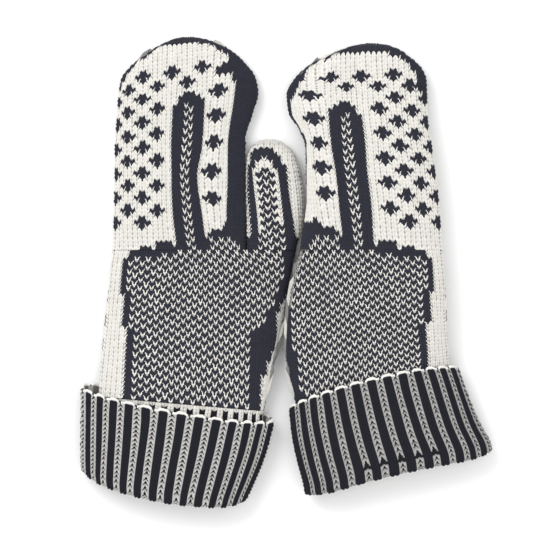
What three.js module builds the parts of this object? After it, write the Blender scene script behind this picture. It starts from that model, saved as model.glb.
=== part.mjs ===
// A pair of hand-knitted mittens in two-colour stranded knitting, lying flat, palms up, side by side.
// Millimetres. +X runs across the pair, +Y towards the fingertips, +Z up out of the palms.
// The origin is the centre of the pair's footprint, on the surface that the mittens lie on.
import * as THREE from 'three'

// Driving dimensions.
const WALL = 3 // stranded fabric: one layer of stitches with the floats behind it
const SEAM = 0.15 // half the gap between the palm side and the back of the hand
const HAND_HEIGHT = 12.5 // flattened hand: two walls and the air between them
const WRIST_HEIGHT = 14 // ribbed wrist inside the turned-up cuff
const CUFF_HEIGHT = 21 // turn-up, rib, air, rib, turn-up
const CUFF_GAP = 0.5 // between the rib and the turn-up folded over it
const WRIST_LIFT = WALL + CUFF_GAP // the lower turn-up lies under the wrist
const FORK_Y = 13.9 // where thumb and fingers part
const FORK_GAP = 0.2 // half the gap across that line
const FOLDED_THUMB_HEIGHT = 9.4 // the left mitten's thumb, folded flat under its hand
const HAND_LIFT = FOLDED_THUMB_HEIGHT + 0.5 // the left hand lies on its own thumb
const TIP_HEIGHT = 1.2 // a tube's closed end, where its two sides meet
const CAST_ON_RADIUS = 1.3 // first row of stitches, a cord along the turn-up's free edge
const CAST_ON_SETBACK = 0.3 // its clearance from the ribbing it edges

const colours = {
  palm: 0x4d4e54,
  back: 0xd9d7d3,
  fingers: 0xb9b8b6,
  thumb: 0x8c8b8c,
  rib: 0x7a7b7f,
  castOn: 0xe4e2de,
}

// Height of a flattened tube's surface over its seam plane: 0 at a folded edge (s = -1 or 1), 1 on the flat middle.
const crown = (s) => Math.min(1, 1.02 * Math.pow(1 - Math.pow(Math.abs(s), 4), 0.25))

// A point on a row's section. A row runs straight from left to right, bowed by up to "bow" square to itself.
// s runs from -1 at the left folded edge to 1 at the right one, inset by the wall for the inner surface.
function sectionPoint(row, s, side, inset) {
  const left = new THREE.Vector2(...row.left)
  const right = new THREE.Vector2(...row.right)
  const across = right.clone().sub(left)
  const halfWidth = across.length() / 2
  across.normalize()
  const half = Math.max(row.height / 2 - inset, 2 * SEAM) - SEAM
  const spot = left.add(right).multiplyScalar(0.5)
    .addScaledVector(across, s * (halfWidth - inset))
    .addScaledVector(new THREE.Vector2(-across.y, across.x), (row.bow ?? 0) * (1 - s * s))
  const z = row.bottom + row.height / 2 + side * (SEAM + half * crown(s))
  return new THREE.Vector3(spot.x, spot.y, z)
}

const halfWidthOf = (row) => Math.hypot(row.right[0] - row.left[0], row.right[1] - row.left[1]) / 2

// Skins closed loops of points, one for each row, and closes the two ends when the loops don't join up.
// Each loop holds an outer line of points and then the inner line in reverse, so an end is a strip of quads.
function skin(loops, joined = false) {
  const count = loops[0].length
  const index = []
  const quad = (a, b, c, d) => index.push(a, b, c, a, c, d)
  const last = joined ? loops.length : loops.length - 1
  for (let j = 0; j < last; j++) {
    for (let i = 0; i < count; i++) {
      const k = (i + 1) % count
      const here = j * count
      const next = ((j + 1) % loops.length) * count
      quad(here + i, here + k, next + k, next + i)
    }
  }
  if (!joined) {
    const end = (loops.length - 1) * count
    for (let i = 0; i < count / 2 - 1; i++) {
      quad(i, count - 1 - i, count - 2 - i, i + 1)
      quad(end + i, end + i + 1, end + count - 2 - i, end + count - 1 - i)
    }
  }
  const points = loops.flat()
  let volume = 0
  for (let t = 0; t < index.length; t += 3) {
    const [a, b, c] = [points[index[t]], points[index[t + 1]], points[index[t + 2]]]
    volume += a.dot(b.clone().cross(c)) / 6
  }
  if (volume < 0) index.reverse()
  const geometry = new THREE.BufferGeometry().setFromPoints(points)
  geometry.setIndex(index)
  geometry.computeVertexNormals()
  return geometry
}

// One side of a flattened knitted tube: side 1 is the palm side, -1 the back of the hand.
// row.gusset, where given, is the width at one edge that is left to the thumb gusset; gussetSide is that edge.
function halfTube(rows, side, wall = WALL, gussetSide = 0) {
  const edge = [0, 0.015, 0.06, 0.15]
  const loops = rows.map((row) => {
    const half = halfWidthOf(row)
    const line = (inset) => {
      const reach = gussetSide === 0 ? 1 : (half - row.gusset) / (half - inset)
      const far = gussetSide === 0 ? edge.map((e) => 1 - 2 * e).reverse() : [reach]
      const near = edge.map((e) => -1 + 2 * e)
      const middle = [-0.35, 0, 0.35].map((m) => THREE.MathUtils.lerp(near.at(-1), far[0], m + 0.5))
      return [...near, ...middle, ...far]
        .map((s) => sectionPoint(row, gussetSide < 0 ? -s : s, side, inset))
    }
    return [...line(0), ...line(wall).reverse()]
  })
  return skin(loops)
}

// The thumb gusset: a wedge of fabric that wraps round one folded edge of the hand, from palm side to back.
function gussetWrap(rows, gussetSide) {
  const steps = 5
  const loops = rows.map((row) => {
    const half = halfWidthOf(row)
    const line = (inset) => {
      const start = (half - row.gusset + CUFF_GAP) / (half - inset)
      const wrap = []
      for (let i = -steps; i <= steps; i++) {
        const s = THREE.MathUtils.lerp(start, 1, Math.cos((i / steps) * Math.PI / 2) ** 0.8)
        const edgeGap = i === 0 ? 0 : Math.sign(i)
        wrap.push(edgeGap === 0
          ? sectionPoint(row, gussetSide, 1, inset).setZ(row.bottom + row.height / 2)
          : sectionPoint(row, gussetSide * Math.min(s, 1), edgeGap, inset))
      }
      return wrap
    }
    return [...line(0), ...line(WALL).reverse()]
  })
  return skin(loops)
}

// A round cord along the free edge of a turned-up cuff, closed on itself.
function castOnRing(row) {
  const left = new THREE.Vector2(...row.left)
  const outward = new THREE.Vector2(...row.right).sub(left).normalize().rotateAround(new THREE.Vector2(), Math.PI / 2)
  const spots = [-0.985, -0.9, -0.7, -0.35, 0, 0.35, 0.7, 0.9, 0.985]
  const path = [...spots.map((s) => [s, 1]), ...spots.toReversed().map((s) => [s, -1])]
    .map(([s, side]) => sectionPoint(row, s, side, WALL / 2))
  const shift = outward.multiplyScalar(CAST_ON_RADIUS + CAST_ON_SETBACK)
  const curve = new THREE.CatmullRomCurve3(path.map((p) => p.add(new THREE.Vector3(shift.x, shift.y, 0))), true)
  const steps = 36
  const sides = 6
  const loops = []
  for (let j = 0; j < steps; j++) {
    const centre = curve.getPointAt(j / steps)
    const along = curve.getTangentAt(j / steps)
    const out = new THREE.Vector3(shift.x, shift.y, 0).normalize()
    const up = along.clone().cross(out).normalize()
    loops.push(Array.from({ length: sides }, (_, i) => {
      const turn = (i / sides) * 2 * Math.PI
      return centre.clone()
        .addScaledVector(out, CAST_ON_RADIUS * Math.cos(turn))
        .addScaledVector(up, CAST_ON_RADIUS * Math.sin(turn))
    }))
  }
  return skin(loops, true)
}

const pair = new THREE.Group()

function addPiece(name, geometry, colour) {
  const material = new THREE.MeshStandardMaterial({ color: colour, roughness: 0.95, metalness: 0 })
  const mesh = new THREE.Mesh(geometry, material)
  mesh.name = name
  pair.add(mesh)
  return mesh
}

// Rows of a level tube, from numbers: where it lies along Y, its left and right edges, its bottom and height.
const level = (y, left, right, bottom, height, gusset) => ({ left: [left, y], right: [right, y], bottom, height, gusset })

// The thumb, seen with its base centre at the origin and its tip towards +Y; "outer" is the edge away from the hand.
const thumbProfile = [
  { at: 0, inner: 14.4, outer: 14.6, taper: 1 },
  { at: 16, inner: 14.3, outer: 18.6, taper: 1 },
  { at: 31, inner: 14.5, outer: 19.3, taper: 1 },
  { at: 46, inner: 14.7, outer: 17.1, taper: 1 },
  { at: 56, inner: 13.9, outer: 14.4, taper: 0.95 },
  { at: 62, inner: 11.4, outer: 10.4, taper: 0.75 },
  { at: 66.2, inner: 6.4, outer: 3.4, taper: 0 },
]

function thumbRows(outerSide, height) {
  return thumbProfile.map(({ at, inner, outer, taper }) => {
    const left = outerSide > 0 ? -inner : -outer
    const right = outerSide > 0 ? outer : inner
    const rowHeight = THREE.MathUtils.lerp(TIP_HEIGHT, height, taper)
    return level(at, left, right, (height - rowHeight) / 2 * taper, rowHeight)
  })
}

// The right-hand mitten, on the left of the pair, with its thumb lying beside its fingers.
const right = {
  hand: [
    { left: [-113, -74.3], right: [-14, -76.3], bottom: WRIST_LIFT, height: WRIST_HEIGHT, gusset: 7 },
    { left: [-111, -48], right: [-7.5, -50], bottom: 1.6, height: 13.2, gusset: 10 },
    level(-16, -107.6, -0.2, 0.3, HAND_HEIGHT + 0.1, 18),
    level(FORK_Y - FORK_GAP, -104.6, 5.4, 0, HAND_HEIGHT, 29.5),
  ],
  fingers: [
    level(FORK_Y + FORK_GAP, -104.6, -24.6, 0, HAND_HEIGHT),
    level(45, -103.6, -25.2, 0, HAND_HEIGHT),
    level(81, -103, -25.2, 0, HAND_HEIGHT),
    level(94, -102, -21.5, 0, HAND_HEIGHT - 0.2),
    level(109, -100.8, -17.3, 0, 12),
    level(117, -99.9, -18.8, 0, 11.5),
    level(128, -90, -26.5, 0, 10.5),
    level(135, -80, -35, 0, 8.5),
    level(140, -71, -46, 0, 5),
    level(142.2, -65, -54, 0, TIP_HEIGHT),
  ],
  rib: [
    { left: [-113, -74.7], right: [-14, -76.7], bottom: WRIST_LIFT, height: WRIST_HEIGHT },
    { left: [-117, -90], right: [-14.5, -92], bottom: WRIST_LIFT, height: WRIST_HEIGHT },
    { left: [-119.2, -106], right: [-20.5, -118], bottom: WRIST_LIFT, height: WRIST_HEIGHT },
    { left: [-118.8, -123.2], right: [-27, -139.2], bottom: WRIST_LIFT, height: WRIST_HEIGHT, bow: -2 },
  ],
  turnUp: [
    { left: [-123.2, -68.5], right: [-8, -90], bottom: 0, height: CUFF_HEIGHT, bow: 2.5 },
    { left: [-123.2, -86], right: [-12.4, -106], bottom: 0, height: CUFF_HEIGHT },
    { left: [-123.2, -105], right: [-17, -124], bottom: 0, height: CUFF_HEIGHT, bow: -1 },
    { left: [-122.4, -123.2], right: [-22.6, -142.2], bottom: 0, height: CUFF_HEIGHT, bow: -4 },
  ],
  gussetSide: 1,
  thumbHeight: HAND_HEIGHT - 1,
  thumbPlace: { x: -9.2, y: FORK_Y + FORK_GAP, turn: 0 },
}

// The left-hand mitten, on the right of the pair, with its thumb folded flat under its hand.
const left = {
  hand: [
    { left: [6.2, -80.5], right: [98.4, -62.5], bottom: WRIST_LIFT, height: WRIST_HEIGHT, gusset: 7 },
    { left: [-0.2, -49], right: [96.7, -42], bottom: 7, height: 13.2, gusset: 10 },
    { left: [1.6, -17], right: [95.3, -14], bottom: HAND_LIFT, height: HAND_HEIGHT + 0.1, gusset: 18 },
    level(FORK_Y - FORK_GAP, 8.4, 93.6, HAND_LIFT, HAND_HEIGHT, 29.5),
  ],
  fingers: [
    level(FORK_Y + FORK_GAP, 8.5, 93.6, HAND_LIFT, HAND_HEIGHT),
    level(45, 12.2, 91.2, HAND_LIFT, HAND_HEIGHT),
    level(75, 11.6, 87.2, HAND_LIFT, HAND_HEIGHT),
    level(88, 7, 85.3, 8.9, HAND_HEIGHT - 0.2),
    level(96, 1.6, 84.6, 7.2, 12.1),
    level(108, 0.4, 84.4, 4.6, 11.9),
    level(117, 5.1, 84, 2.8, 11.5),
    level(124, 12.3, 80.5, 1.6, 11),
    level(131, 23.7, 73, 0.7, 9.5),
    level(136, 37, 65, 0.2, 6.5),
    level(138.4, 46, 57, 0, TIP_HEIGHT),
  ],
  rib: [
    { left: [6.2, -80.9], right: [98.4, -62.9], bottom: WRIST_LIFT, height: WRIST_HEIGHT },
    { left: [8.2, -98], right: [103.8, -77], bottom: WRIST_LIFT, height: WRIST_HEIGHT },
    { left: [11.6, -115], right: [109.5, -92], bottom: WRIST_LIFT, height: WRIST_HEIGHT },
    { left: [16, -133.8], right: [118.6, -111], bottom: WRIST_LIFT, height: WRIST_HEIGHT, bow: 1 },
  ],
  turnUp: [
    { left: [2.2, -81.5], right: [103.2, -57.6], bottom: 0, height: CUFF_HEIGHT },
    { left: [3.9, -99], right: [109.2, -76], bottom: 0, height: CUFF_HEIGHT },
    { left: [7.2, -116], right: [115.2, -92], bottom: 0, height: CUFF_HEIGHT },
    { left: [11.5, -136], right: [123.2, -110.5], bottom: 0, height: CUFF_HEIGHT, bow: 2 },
  ],
  gussetSide: -1,
  thumbHeight: FOLDED_THUMB_HEIGHT,
  thumbPlace: { x: 29, y: 6, turn: THREE.MathUtils.degToRad(-8) },
}

const THUMB_WALL = 2.4 // the thumb is knitted a little finer than the hand
const sides = [['palm', 1], ['back', -1]]

for (const [hand, shape] of [['right', right], ['left', left]]) {
  for (const [sideName, side] of sides) {
    addPiece(`${hand}_hand_${sideName}`, halfTube(shape.hand, side, WALL, shape.gussetSide),
      side > 0 ? colours.palm : colours.back)
    addPiece(`${hand}_fingers_${sideName}`, halfTube(shape.fingers, side), colours.fingers)
    addPiece(`${hand}_wrist_rib_${sideName}`, halfTube(shape.rib, side), colours.rib)
    addPiece(`${hand}_turned_cuff_${sideName}`, halfTube(shape.turnUp, side), colours.rib)
    const thumb = addPiece(`${hand}_thumb_${sideName}`,
      halfTube(thumbRows(shape.gussetSide, shape.thumbHeight), side, THUMB_WALL), colours.thumb)
    thumb.position.set(shape.thumbPlace.x, shape.thumbPlace.y, 0)
    thumb.rotation.z = shape.thumbPlace.turn
  }
  addPiece(`${hand}_thumb_gusset`, gussetWrap(shape.hand, shape.gussetSide), colours.back)
  addPiece(`${hand}_cast_on_edge`, castOnRing(shape.turnUp[0]), colours.castOn)
}

export default pair
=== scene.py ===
"""A pair of hand-knitted mittens in off-white and near-black wool, lying flat with their palms up."""
import math

import bpy
import numpy as np
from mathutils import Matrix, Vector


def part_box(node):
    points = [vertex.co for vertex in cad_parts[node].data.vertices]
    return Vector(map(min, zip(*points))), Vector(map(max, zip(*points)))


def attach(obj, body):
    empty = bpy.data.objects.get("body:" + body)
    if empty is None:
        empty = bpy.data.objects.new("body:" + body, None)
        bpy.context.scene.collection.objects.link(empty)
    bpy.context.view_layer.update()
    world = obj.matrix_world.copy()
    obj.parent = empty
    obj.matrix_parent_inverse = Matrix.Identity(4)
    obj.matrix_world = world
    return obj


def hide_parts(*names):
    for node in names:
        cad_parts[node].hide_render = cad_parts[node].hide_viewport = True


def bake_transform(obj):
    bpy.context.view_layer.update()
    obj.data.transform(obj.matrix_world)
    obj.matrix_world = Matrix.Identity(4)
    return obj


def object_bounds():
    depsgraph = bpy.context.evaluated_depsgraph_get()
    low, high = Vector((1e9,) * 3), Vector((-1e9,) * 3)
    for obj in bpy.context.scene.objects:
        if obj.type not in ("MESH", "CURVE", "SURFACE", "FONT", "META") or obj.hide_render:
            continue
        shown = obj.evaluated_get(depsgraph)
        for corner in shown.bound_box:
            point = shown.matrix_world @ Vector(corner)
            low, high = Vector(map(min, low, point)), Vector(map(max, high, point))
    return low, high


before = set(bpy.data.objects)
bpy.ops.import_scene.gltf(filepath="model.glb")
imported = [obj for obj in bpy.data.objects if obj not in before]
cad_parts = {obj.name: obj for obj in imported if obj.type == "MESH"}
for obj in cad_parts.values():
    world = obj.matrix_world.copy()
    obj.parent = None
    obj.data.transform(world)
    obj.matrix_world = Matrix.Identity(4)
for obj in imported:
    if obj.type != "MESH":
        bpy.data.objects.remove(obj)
cad_low, cad_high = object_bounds()
mm = 0.001

# --------------------------------------
# The table they lie on and the light
# A plain pale surface under broad soft light, seen from straight above with
# a long lens, so that both mittens keep their true outline.
middle = (cad_low + cad_high) / 2
view_width = 330.6 * mm
lens_mm = 330
sensor_mm = 36
view_offset = (-6.6 * mm, -1.5 * mm)

camera_data = bpy.data.cameras.new("camera")
camera_data.lens = lens_mm
camera_data.sensor_width = sensor_mm
camera_height = view_width * lens_mm / sensor_mm
camera_data.clip_end = camera_height * 10  # far enough for a view from any side
camera = bpy.data.objects.new("camera", camera_data)
camera.location = (middle.x + view_offset[0], middle.y + view_offset[1], cad_high.z + camera_height)
bpy.context.scene.collection.objects.link(camera)
bpy.context.scene.camera = camera
bpy.context.scene.view_settings.view_transform = "Standard"

floor_half = 3.0
floor_corners = [(x * floor_half, y * floor_half, 0) for x, y in ((-1, -1), (1, -1), (1, 1), (-1, 1))]
floor_mesh = bpy.data.meshes.new("floor")
floor_mesh.from_pydata(floor_corners, [], [(0, 1, 2, 3)])
floor = bpy.data.objects.new("floor", floor_mesh)
bpy.context.scene.collection.objects.link(floor)
floor_paint = bpy.data.materials.new("floor_paper")
floor_paint.use_nodes = True
floor_shader = floor_paint.node_tree.nodes["Principled BSDF"]
floor_shader.inputs["Base Color"].default_value = (0.96, 0.96, 0.96, 1)
floor_shader.inputs["Roughness"].default_value = 0.9
floor_mesh.materials.append(floor_paint)

world = bpy.data.worlds.new("studio")
world.use_nodes = True
world.node_tree.nodes["Background"].inputs["Color"].default_value = (1, 1, 1, 1)
world.node_tree.nodes["Background"].inputs["Strength"].default_value = 0.95
bpy.context.scene.world = world


def add_light(name, place, size, power):
    """A square soft box of the given size in metres, aimed at the middle of the pair."""
    light_data = bpy.data.lights.new(name, "AREA")
    light_data.size = size
    light_data.energy = power
    light = bpy.data.objects.new(name, light_data)
    light.location = place
    light.rotation_mode = "QUATERNION"
    light.rotation_quaternion = (middle - light.location).to_track_quat("-Z", "Y")
    bpy.context.scene.collection.objects.link(light)


add_light("key_light", (-0.75, 0.9, 1.25), 1.0, 13)
add_light("fill_light", (0.5, -0.4, 1.6), 1.5, 5)

# --------------------------------------
# Fingers
# Each finger tube is knitted in the round from two soft twisted wools,
# off-white and near-black: 30 stitches for the palm side and 30 for the back,
# up to a rounded tip that is closed by joining the last round's two sides.
OFF_WHITE = (0.80, 0.785, 0.74, 1)
# The light yarn's shaded copy, mixed in at random patches as painted shade
WHITE_IN_SHADE = (0.68, 0.66, 0.615, 1)
NEAR_BLACK = (0.010, 0.0105, 0.016, 1)
# The dark yarn's lit copy, mixed in along the fibre noise: painted highlights on its fibres
BLACK_LIT = (0.044, 0.046, 0.062, 1)
# Painted shade: the light yarn darkens towards this colour in the creases and small holes between its
# strands
GAP_SHADE_COLOUR = (0.10, 0.095, 0.09, 1)
DYE_AND_SHADE_PATCHES = 420  # patches in a metre where the light yarn goes over to its shaded copy: uneven dye and painted shade
FIBRES = 3800  # fibres in a metre
PLY_ACROSS, PLY_ALONG = 9.0, 12.6  # the ply's turns in radians, across a stitch and along a row
SMOOTHEST, ROUGHER = 0.78, 0.2  # the wool's lowest roughness, and what its fibres add
BUMP_DEPTH = 0.12 * mm


def new_group(name, inputs, outputs):
    """An empty shader node group with the given sockets; returns it with its input and output nodes."""
    group = bpy.data.node_groups.new(name, "ShaderNodeTree")
    for label, kind, value in inputs:
        socket = group.interface.new_socket(label, in_out="INPUT", socket_type=kind)
        socket.default_value = value
    for label, kind in outputs:
        group.interface.new_socket(label, in_out="OUTPUT", socket_type=kind)
    return group, group.nodes.new("NodeGroupInput"), group.nodes.new("NodeGroupOutput")


def add_noise(tree, coordinates, scale, detail):
    """A noise texture on the given coordinates; scale is in cells per metre."""
    noise = tree.nodes.new("ShaderNodeTexNoise")
    noise.inputs["Scale"].default_value = scale
    noise.inputs["Detail"].default_value = detail
    tree.links.new(coordinates, noise.inputs["Vector"])
    return noise.outputs["Fac"]


def add_math(tree, operation, first, second):
    """A math node; each input is a socket or a plain number."""
    node = tree.nodes.new("ShaderNodeMath")
    node.operation = operation
    for socket, value in zip(node.inputs, (first, second)):
        if isinstance(value, (int, float)):
            socket.default_value = value
        else:
            tree.links.new(value, socket)
    return node.outputs[0]


def add_mix(tree, factor, first, second):
    """A colour mix from first to second; each colour is a socket or four numbers."""
    node = tree.nodes.new("ShaderNodeMix")
    node.data_type = "RGBA"
    for socket, value in ((node.inputs[0], factor), (node.inputs[6], first), (node.inputs[7], second)):
        if isinstance(value, (int, float, tuple)):
            socket.default_value = value
        else:
            tree.links.new(value, socket)
    return node.outputs[2]


def wool_group():
    """Yarn colour: dark yarn where Dark is 1; the light yarn mixed in random patches with its shaded copy,
    as uneven dye and painted shade; the dark yarn mixed with its lit copy along the fibres, as painted
    highlights; and painted shade between the strands where Gap is 1. Height: the ply's slanting ridges,
    worked out from the stitch coordinates, plus fine fibres."""
    number, colour = "NodeSocketFloat", "NodeSocketColor"
    group, inside, outside = new_group(
        "wool_yarn",
        [("Dark", number, 0.0), ("Gap", number, 0.0), ("Gap Shade Strength", number, 0.6), ("Ply", number, 0.5),
         ("Light Yarn", colour, OFF_WHITE), ("Light Yarn Shade", colour, WHITE_IN_SHADE),
         ("Dark Yarn", colour, NEAR_BLACK), ("Dark Yarn Lit", colour, BLACK_LIT)],
        [("Color", colour), ("Height", number), ("Roughness", number)])
    place = group.nodes.new("ShaderNodeTexCoord")
    stitch = group.nodes.new("ShaderNodeUVMap")
    stitch.uv_map = "stitch"
    uneven = add_noise(group, place.outputs["Object"], DYE_AND_SHADE_PATCHES, 3)
    fibre = add_noise(group, place.outputs["Object"], FIBRES, 3)
    # The light yarn goes over to its shaded copy in random patches: uneven dye and painted shade.
    light = add_mix(group, uneven, inside.outputs["Light Yarn"], inside.outputs["Light Yarn Shade"])
    # The dark yarn goes over to its lit copy along the fibre noise: painted highlights on its fibres.
    dark = add_mix(group, fibre, inside.outputs["Dark Yarn"], inside.outputs["Dark Yarn Lit"])
    yarn = add_mix(group, inside.outputs["Dark"], light, dark)
    # Painted shade between the strands, on the light yarn only.
    undyed = add_math(group, "SUBTRACT", 1.0, inside.outputs["Dark"])
    in_gap = add_math(group, "MULTIPLY", add_math(group, "MULTIPLY", inside.outputs["Gap"], undyed),
                      inside.outputs["Gap Shade Strength"])
    group.links.new(add_mix(group, in_gap, yarn, GAP_SHADE_COLOUR), outside.inputs["Color"])
    split = group.nodes.new("ShaderNodeSeparateXYZ")
    group.links.new(stitch.outputs["UV"], split.inputs[0])
    turns = add_math(group, "ADD", add_math(group, "MULTIPLY", split.outputs["X"], PLY_ACROSS),
                     add_math(group, "MULTIPLY", split.outputs["Y"], PLY_ALONG))
    ridge = add_math(group, "SINE", turns, 0.0)
    ply = add_math(group, "MULTIPLY", ridge, inside.outputs["Ply"])
    group.links.new(add_math(group, "ADD", ply, fibre), outside.inputs["Height"])
    roughness = add_math(group, "ADD", add_math(group, "MULTIPLY", fibre, ROUGHER), SMOOTHEST)
    group.links.new(roughness, outside.inputs["Roughness"])
    return group


wool_yarn = wool_group()


def wool_material(name, gap_shade_strength=0.85, light=OFF_WHITE, shade=WHITE_IN_SHADE, dark=NEAR_BLACK,
                  dark_lit=BLACK_LIT):
    """Knitted wool: the yarn group on a rough, softly glowing fibre surface with a shallow bump."""
    material = bpy.data.materials.new(name)
    material.use_nodes = True
    tree = material.node_tree
    shader = tree.nodes["Principled BSDF"]
    yarn = tree.nodes.new("ShaderNodeGroup")
    yarn.node_tree = wool_yarn
    # How dark the painted shade between the strands gets.
    yarn.inputs["Gap Shade Strength"].default_value = gap_shade_strength
    yarn.inputs["Light Yarn"].default_value = light
    yarn.inputs["Light Yarn Shade"].default_value = shade
    yarn.inputs["Dark Yarn"].default_value = dark
    yarn.inputs["Dark Yarn Lit"].default_value = dark_lit
    for attribute, label in (("yarn_dark", "Dark"), ("gap", "Gap")):
        node = tree.nodes.new("ShaderNodeAttribute")
        node.attribute_name = attribute
        tree.links.new(node.outputs["Fac"], yarn.inputs[label])
    bump = tree.nodes.new("ShaderNodeBump")
    bump.inputs["Strength"].default_value = 0.5
    bump.inputs["Distance"].default_value = BUMP_DEPTH
    tree.links.new(yarn.outputs["Height"], bump.inputs["Height"])
    tree.links.new(bump.outputs["Normal"], shader.inputs["Normal"])
    tree.links.new(yarn.outputs["Color"], shader.inputs["Base Color"])
    tree.links.new(yarn.outputs["Roughness"], shader.inputs["Roughness"])
    shader.inputs["Sheen Weight"].default_value = 0.06
    shader.inputs["Sheen Roughness"].default_value = 0.5
    shader.inputs["Specular IOR Level"].default_value = 0.08
    return material


ACROSS = 6  # grid steps across a stitch: three for each leg of its V
ALONG = 4  # grid steps along a row
GAUGE = 2.6 * mm  # a stitch's natural width
PALM = 30  # stitches across the palm side of the fingers


def smooth_through(t, knots, values):
    """A smooth curve through values at knots, read at t. Between two knots it is the cubic whose slopes at
    the knots are the harmonic mean of the slopes on either side, or 0 where they turn, so it never
    overshoots."""
    knots, values = np.asarray(knots, float), np.asarray(values, float)
    shape = (-1,) + (1,) * (values.ndim - 1)
    slope = np.diff(values, axis=0) / np.diff(knots).reshape(shape)
    before, after = slope[:-1], slope[1:]
    product = before * after
    inner = np.where(product > 0, 2 * product / np.where(product > 0, before + after, 1), 0)
    tangent = np.concatenate([slope[:1], inner, slope[-1:]])
    t = np.clip(np.asarray(t, float), knots[0], knots[-1])
    k = np.clip(np.searchsorted(knots, t, side="right") - 1, 0, len(knots) - 2)
    h = (knots[k + 1] - knots[k]).reshape(t.shape + (1,) * (values.ndim - 1))
    f = (t - knots[k]).reshape(h.shape) / h
    return ((2 * f**3 - 3 * f**2 + 1) * values[k] + (f**3 - 2 * f**2 + f) * h * tangent[k]
            + (3 * f**2 - 2 * f**3) * values[k + 1] + (f**3 - f**2) * h * tangent[k + 1])


def gather(natural, keep):
    """Where each stitch lies across the fabric, -1 to 1, given its natural place there. Past keep the
    surplus crowds towards the folded edge: keep + (1 - keep)(1 - (1 - q)^m)."""
    placed = natural.copy()
    for sign, edge in ((-1, natural[:1]), (1, natural[-1:])):
        reach = np.maximum(sign * edge, 1.0)
        power = np.clip((reach - keep) / (1 - keep), 1, 4)
        q = np.clip((sign * natural - keep) / (reach - keep), 0, 1)
        crowded = sign * (keep + (1 - keep) * (1 - (1 - q) ** power))
        placed = np.where(sign * natural > keep, crowded, placed)
    return placed


OVAL = 3.2  # power of a tube's flattened oval
SQUARE = 20  # what a square edge adds to that power at the first ring
CROWN = 0.45  # power of the rise from a folded edge to the flat middle
CROWDING = 0.4  # how far evenly spread stitches crowd towards the folded edges
CORNER = 8  # power of the turn at a tube's corners


def flat_tube(start, end, bow, bottom, height, front, natural=None, keep=0.75, square=(0, 0), sag=0,
              uneven=0, corner=0):
    """The smooth surface of a flattened knitted tube as rings of points, bottom ring first. start and end
    are the folded edges as x, y for each ring; front is the number of stitches on the palm side, and the
    back has as many. With s from -1 to 1 across it, x = middle + half width * s, y = edge y +
    bow * (1 - s^2), and z = seam plane +/- half height * (1 - |s|^p)^CROWN. square is the rows over which
    each edge goes from square to oval. sag lowers the palm side's y and lifts the back's, corner adds
    corner * s^CORNER to y, and uneven narrows every other stitch."""
    ring = np.arange(len(start))
    centre, half = (start + end)[:, :1] / 2, (end - start)[:, :1] / 2
    u = np.arange(front * ACROSS + 1) / ACROSS
    turn = (2 * (u + uneven * (np.cos(math.pi * u) - 1)) / front - 1)[:, None]
    even = (1 - CROWDING) * turn + CROWDING * np.sin(turn * math.pi / 2) + 0 * ring
    placed = even if natural is None else gather((natural - centre.T) / half.T, keep)
    s = np.concatenate([placed, even[::-1][1:-1]]).T
    s[:, 0], s[:, front * ACROSS] = -1, 1
    side = np.concatenate([np.ones(front * ACROSS + 1), -np.ones(front * ACROSS - 1)])
    squareness = [SQUARE * np.exp(-ring / ALONG / rows)[:, None] if rows else 0 for rows in square]
    p = OVAL + np.where(s < 0, squareness[0], squareness[1])
    crown = np.maximum(1 - np.abs(s) ** p, 0) ** CROWN
    x = centre + half * s
    y = start[:, 1:] + (end - start)[:, 1:] * (s + 1) / 2 + bow[:, None] * (1 - s**2) - sag * side * crown
    y = y + corner * s**CORNER
    z = bottom[:, None] + height[:, None] / 2 * (1 + side * crown)
    return np.stack([x, y, z], axis=-1)


def unit(vectors):
    """Each vector divided by its length."""
    return vectors / np.maximum(np.linalg.norm(vectors, axis=-1, keepdims=True), 1e-12)


def ring_quads(first, second):
    """Quads between two rings of vertex numbers, or two stacks of rings, the first below the second."""
    corners = [first, np.roll(first, -1, axis=-1), np.roll(second, -1, axis=-1), second]
    return np.stack(corners, axis=-1).reshape(-1, 4)


def tip_faces(line):
    """Closes a flattened ring: each point of the palm side joins the one behind it on the back."""
    half, count = len(line) // 2, len(line)
    c = np.arange(1, half - 1)
    quads = np.stack([line[c], line[c + 1], line[count - c - 1], line[count - c]], axis=-1)
    ends = np.array([[line[0], line[1], line[count - 1]], [line[half - 1], line[half], line[half + 1]]])
    return quads, ends


def mesh_piece(name, vertices, quads, triangles=None, smooth_count=None):
    """A mesh object of quads and a few triangles, in that order, smooth-shaded up to smooth_count."""
    triangles = np.zeros((0, 3), int) if triangles is None else triangles
    corners = np.concatenate([quads.ravel(), triangles.ravel()])
    starts = np.concatenate([np.arange(len(quads)) * 4, quads.size + np.arange(len(triangles)) * 3])
    mesh = bpy.data.meshes.new(name)
    mesh.vertices.add(len(vertices))
    mesh.vertices.foreach_set("co", vertices.ravel())
    mesh.loops.add(len(corners))
    mesh.loops.foreach_set("vertex_index", corners)
    mesh.polygons.add(len(starts))
    mesh.polygons.foreach_set("loop_start", starts)
    smooth_count = len(starts) if smooth_count is None else smooth_count
    mesh.polygons.foreach_set("use_smooth", np.arange(len(starts)) < smooth_count)
    mesh.update(calc_edges=True)
    piece = bpy.data.objects.new(name, mesh)
    bpy.context.scene.collection.objects.link(piece)
    return piece


WANDER = 0.13 * mm  # how far each wave of unevenness moves the wales and the rows
WANDER_TURNS = (3, 5, 8, 13, 17)  # those waves' counts round the tube
WANDER_DRIFT = 0.35  # how far a wave turns from row to row, in radians
WANDER_START = 6.3  # the latest point at which a wave can start, in radians
WANDER_FADE = 3  # rows over which the waves fade at a tube's two ends


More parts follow.
